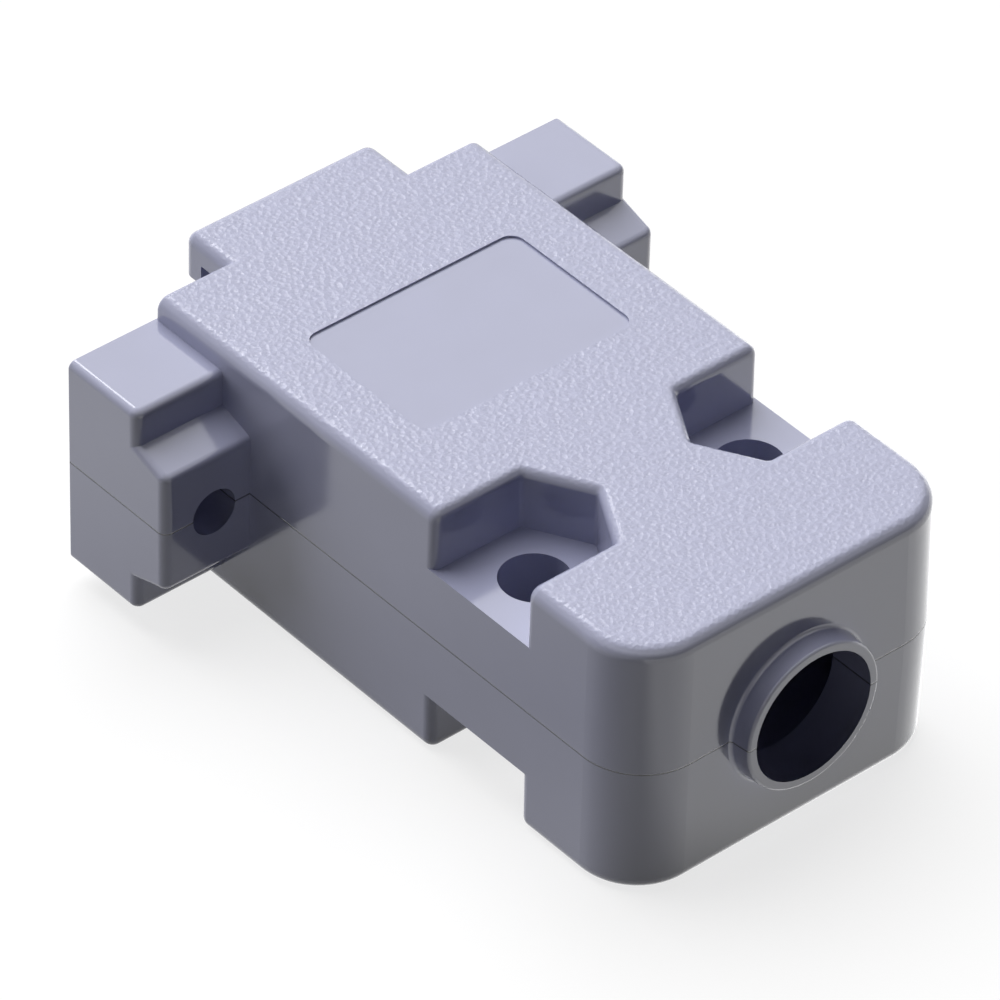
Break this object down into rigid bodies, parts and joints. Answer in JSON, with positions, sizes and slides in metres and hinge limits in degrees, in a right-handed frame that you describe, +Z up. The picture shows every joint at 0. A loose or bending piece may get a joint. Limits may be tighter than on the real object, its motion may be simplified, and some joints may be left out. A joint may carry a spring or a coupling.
{
  "type": "d-sub hood",
  "caption": "Split plastic hood for a D-sub connector, with stepped jackscrew ears, hexagonal screw pockets, a flange hook and a round cable collar.",
  "frame": {"origin": "centre of the bounding box on the bottom face, which the hood lies on", "axes": "+X across the ears, +Y towards the connector, +Z up from the resting face; the cable leaves towards -Y"},
  "size_m": [0.0312, 0.0398, 0.0149],
  "materials": {
    "grey_plastic": "fine spark-eroded texture on top, smooth on the sides",
    "plated_steel": "bright zinc plate"
  },
  "bodies": {
    "root": {"upper_shell": "grey_plastic", "lower_shell": "grey_plastic", "upper_clamp_strap": "plated_steel", "lower_clamp_strap": "plated_steel", "left_clamp_screw": "plated_steel", "right_clamp_screw": "plated_steel", "left_clamp_nut": "plated_steel", "right_clamp_nut": "plated_steel"}
  },
  "joints": []
}
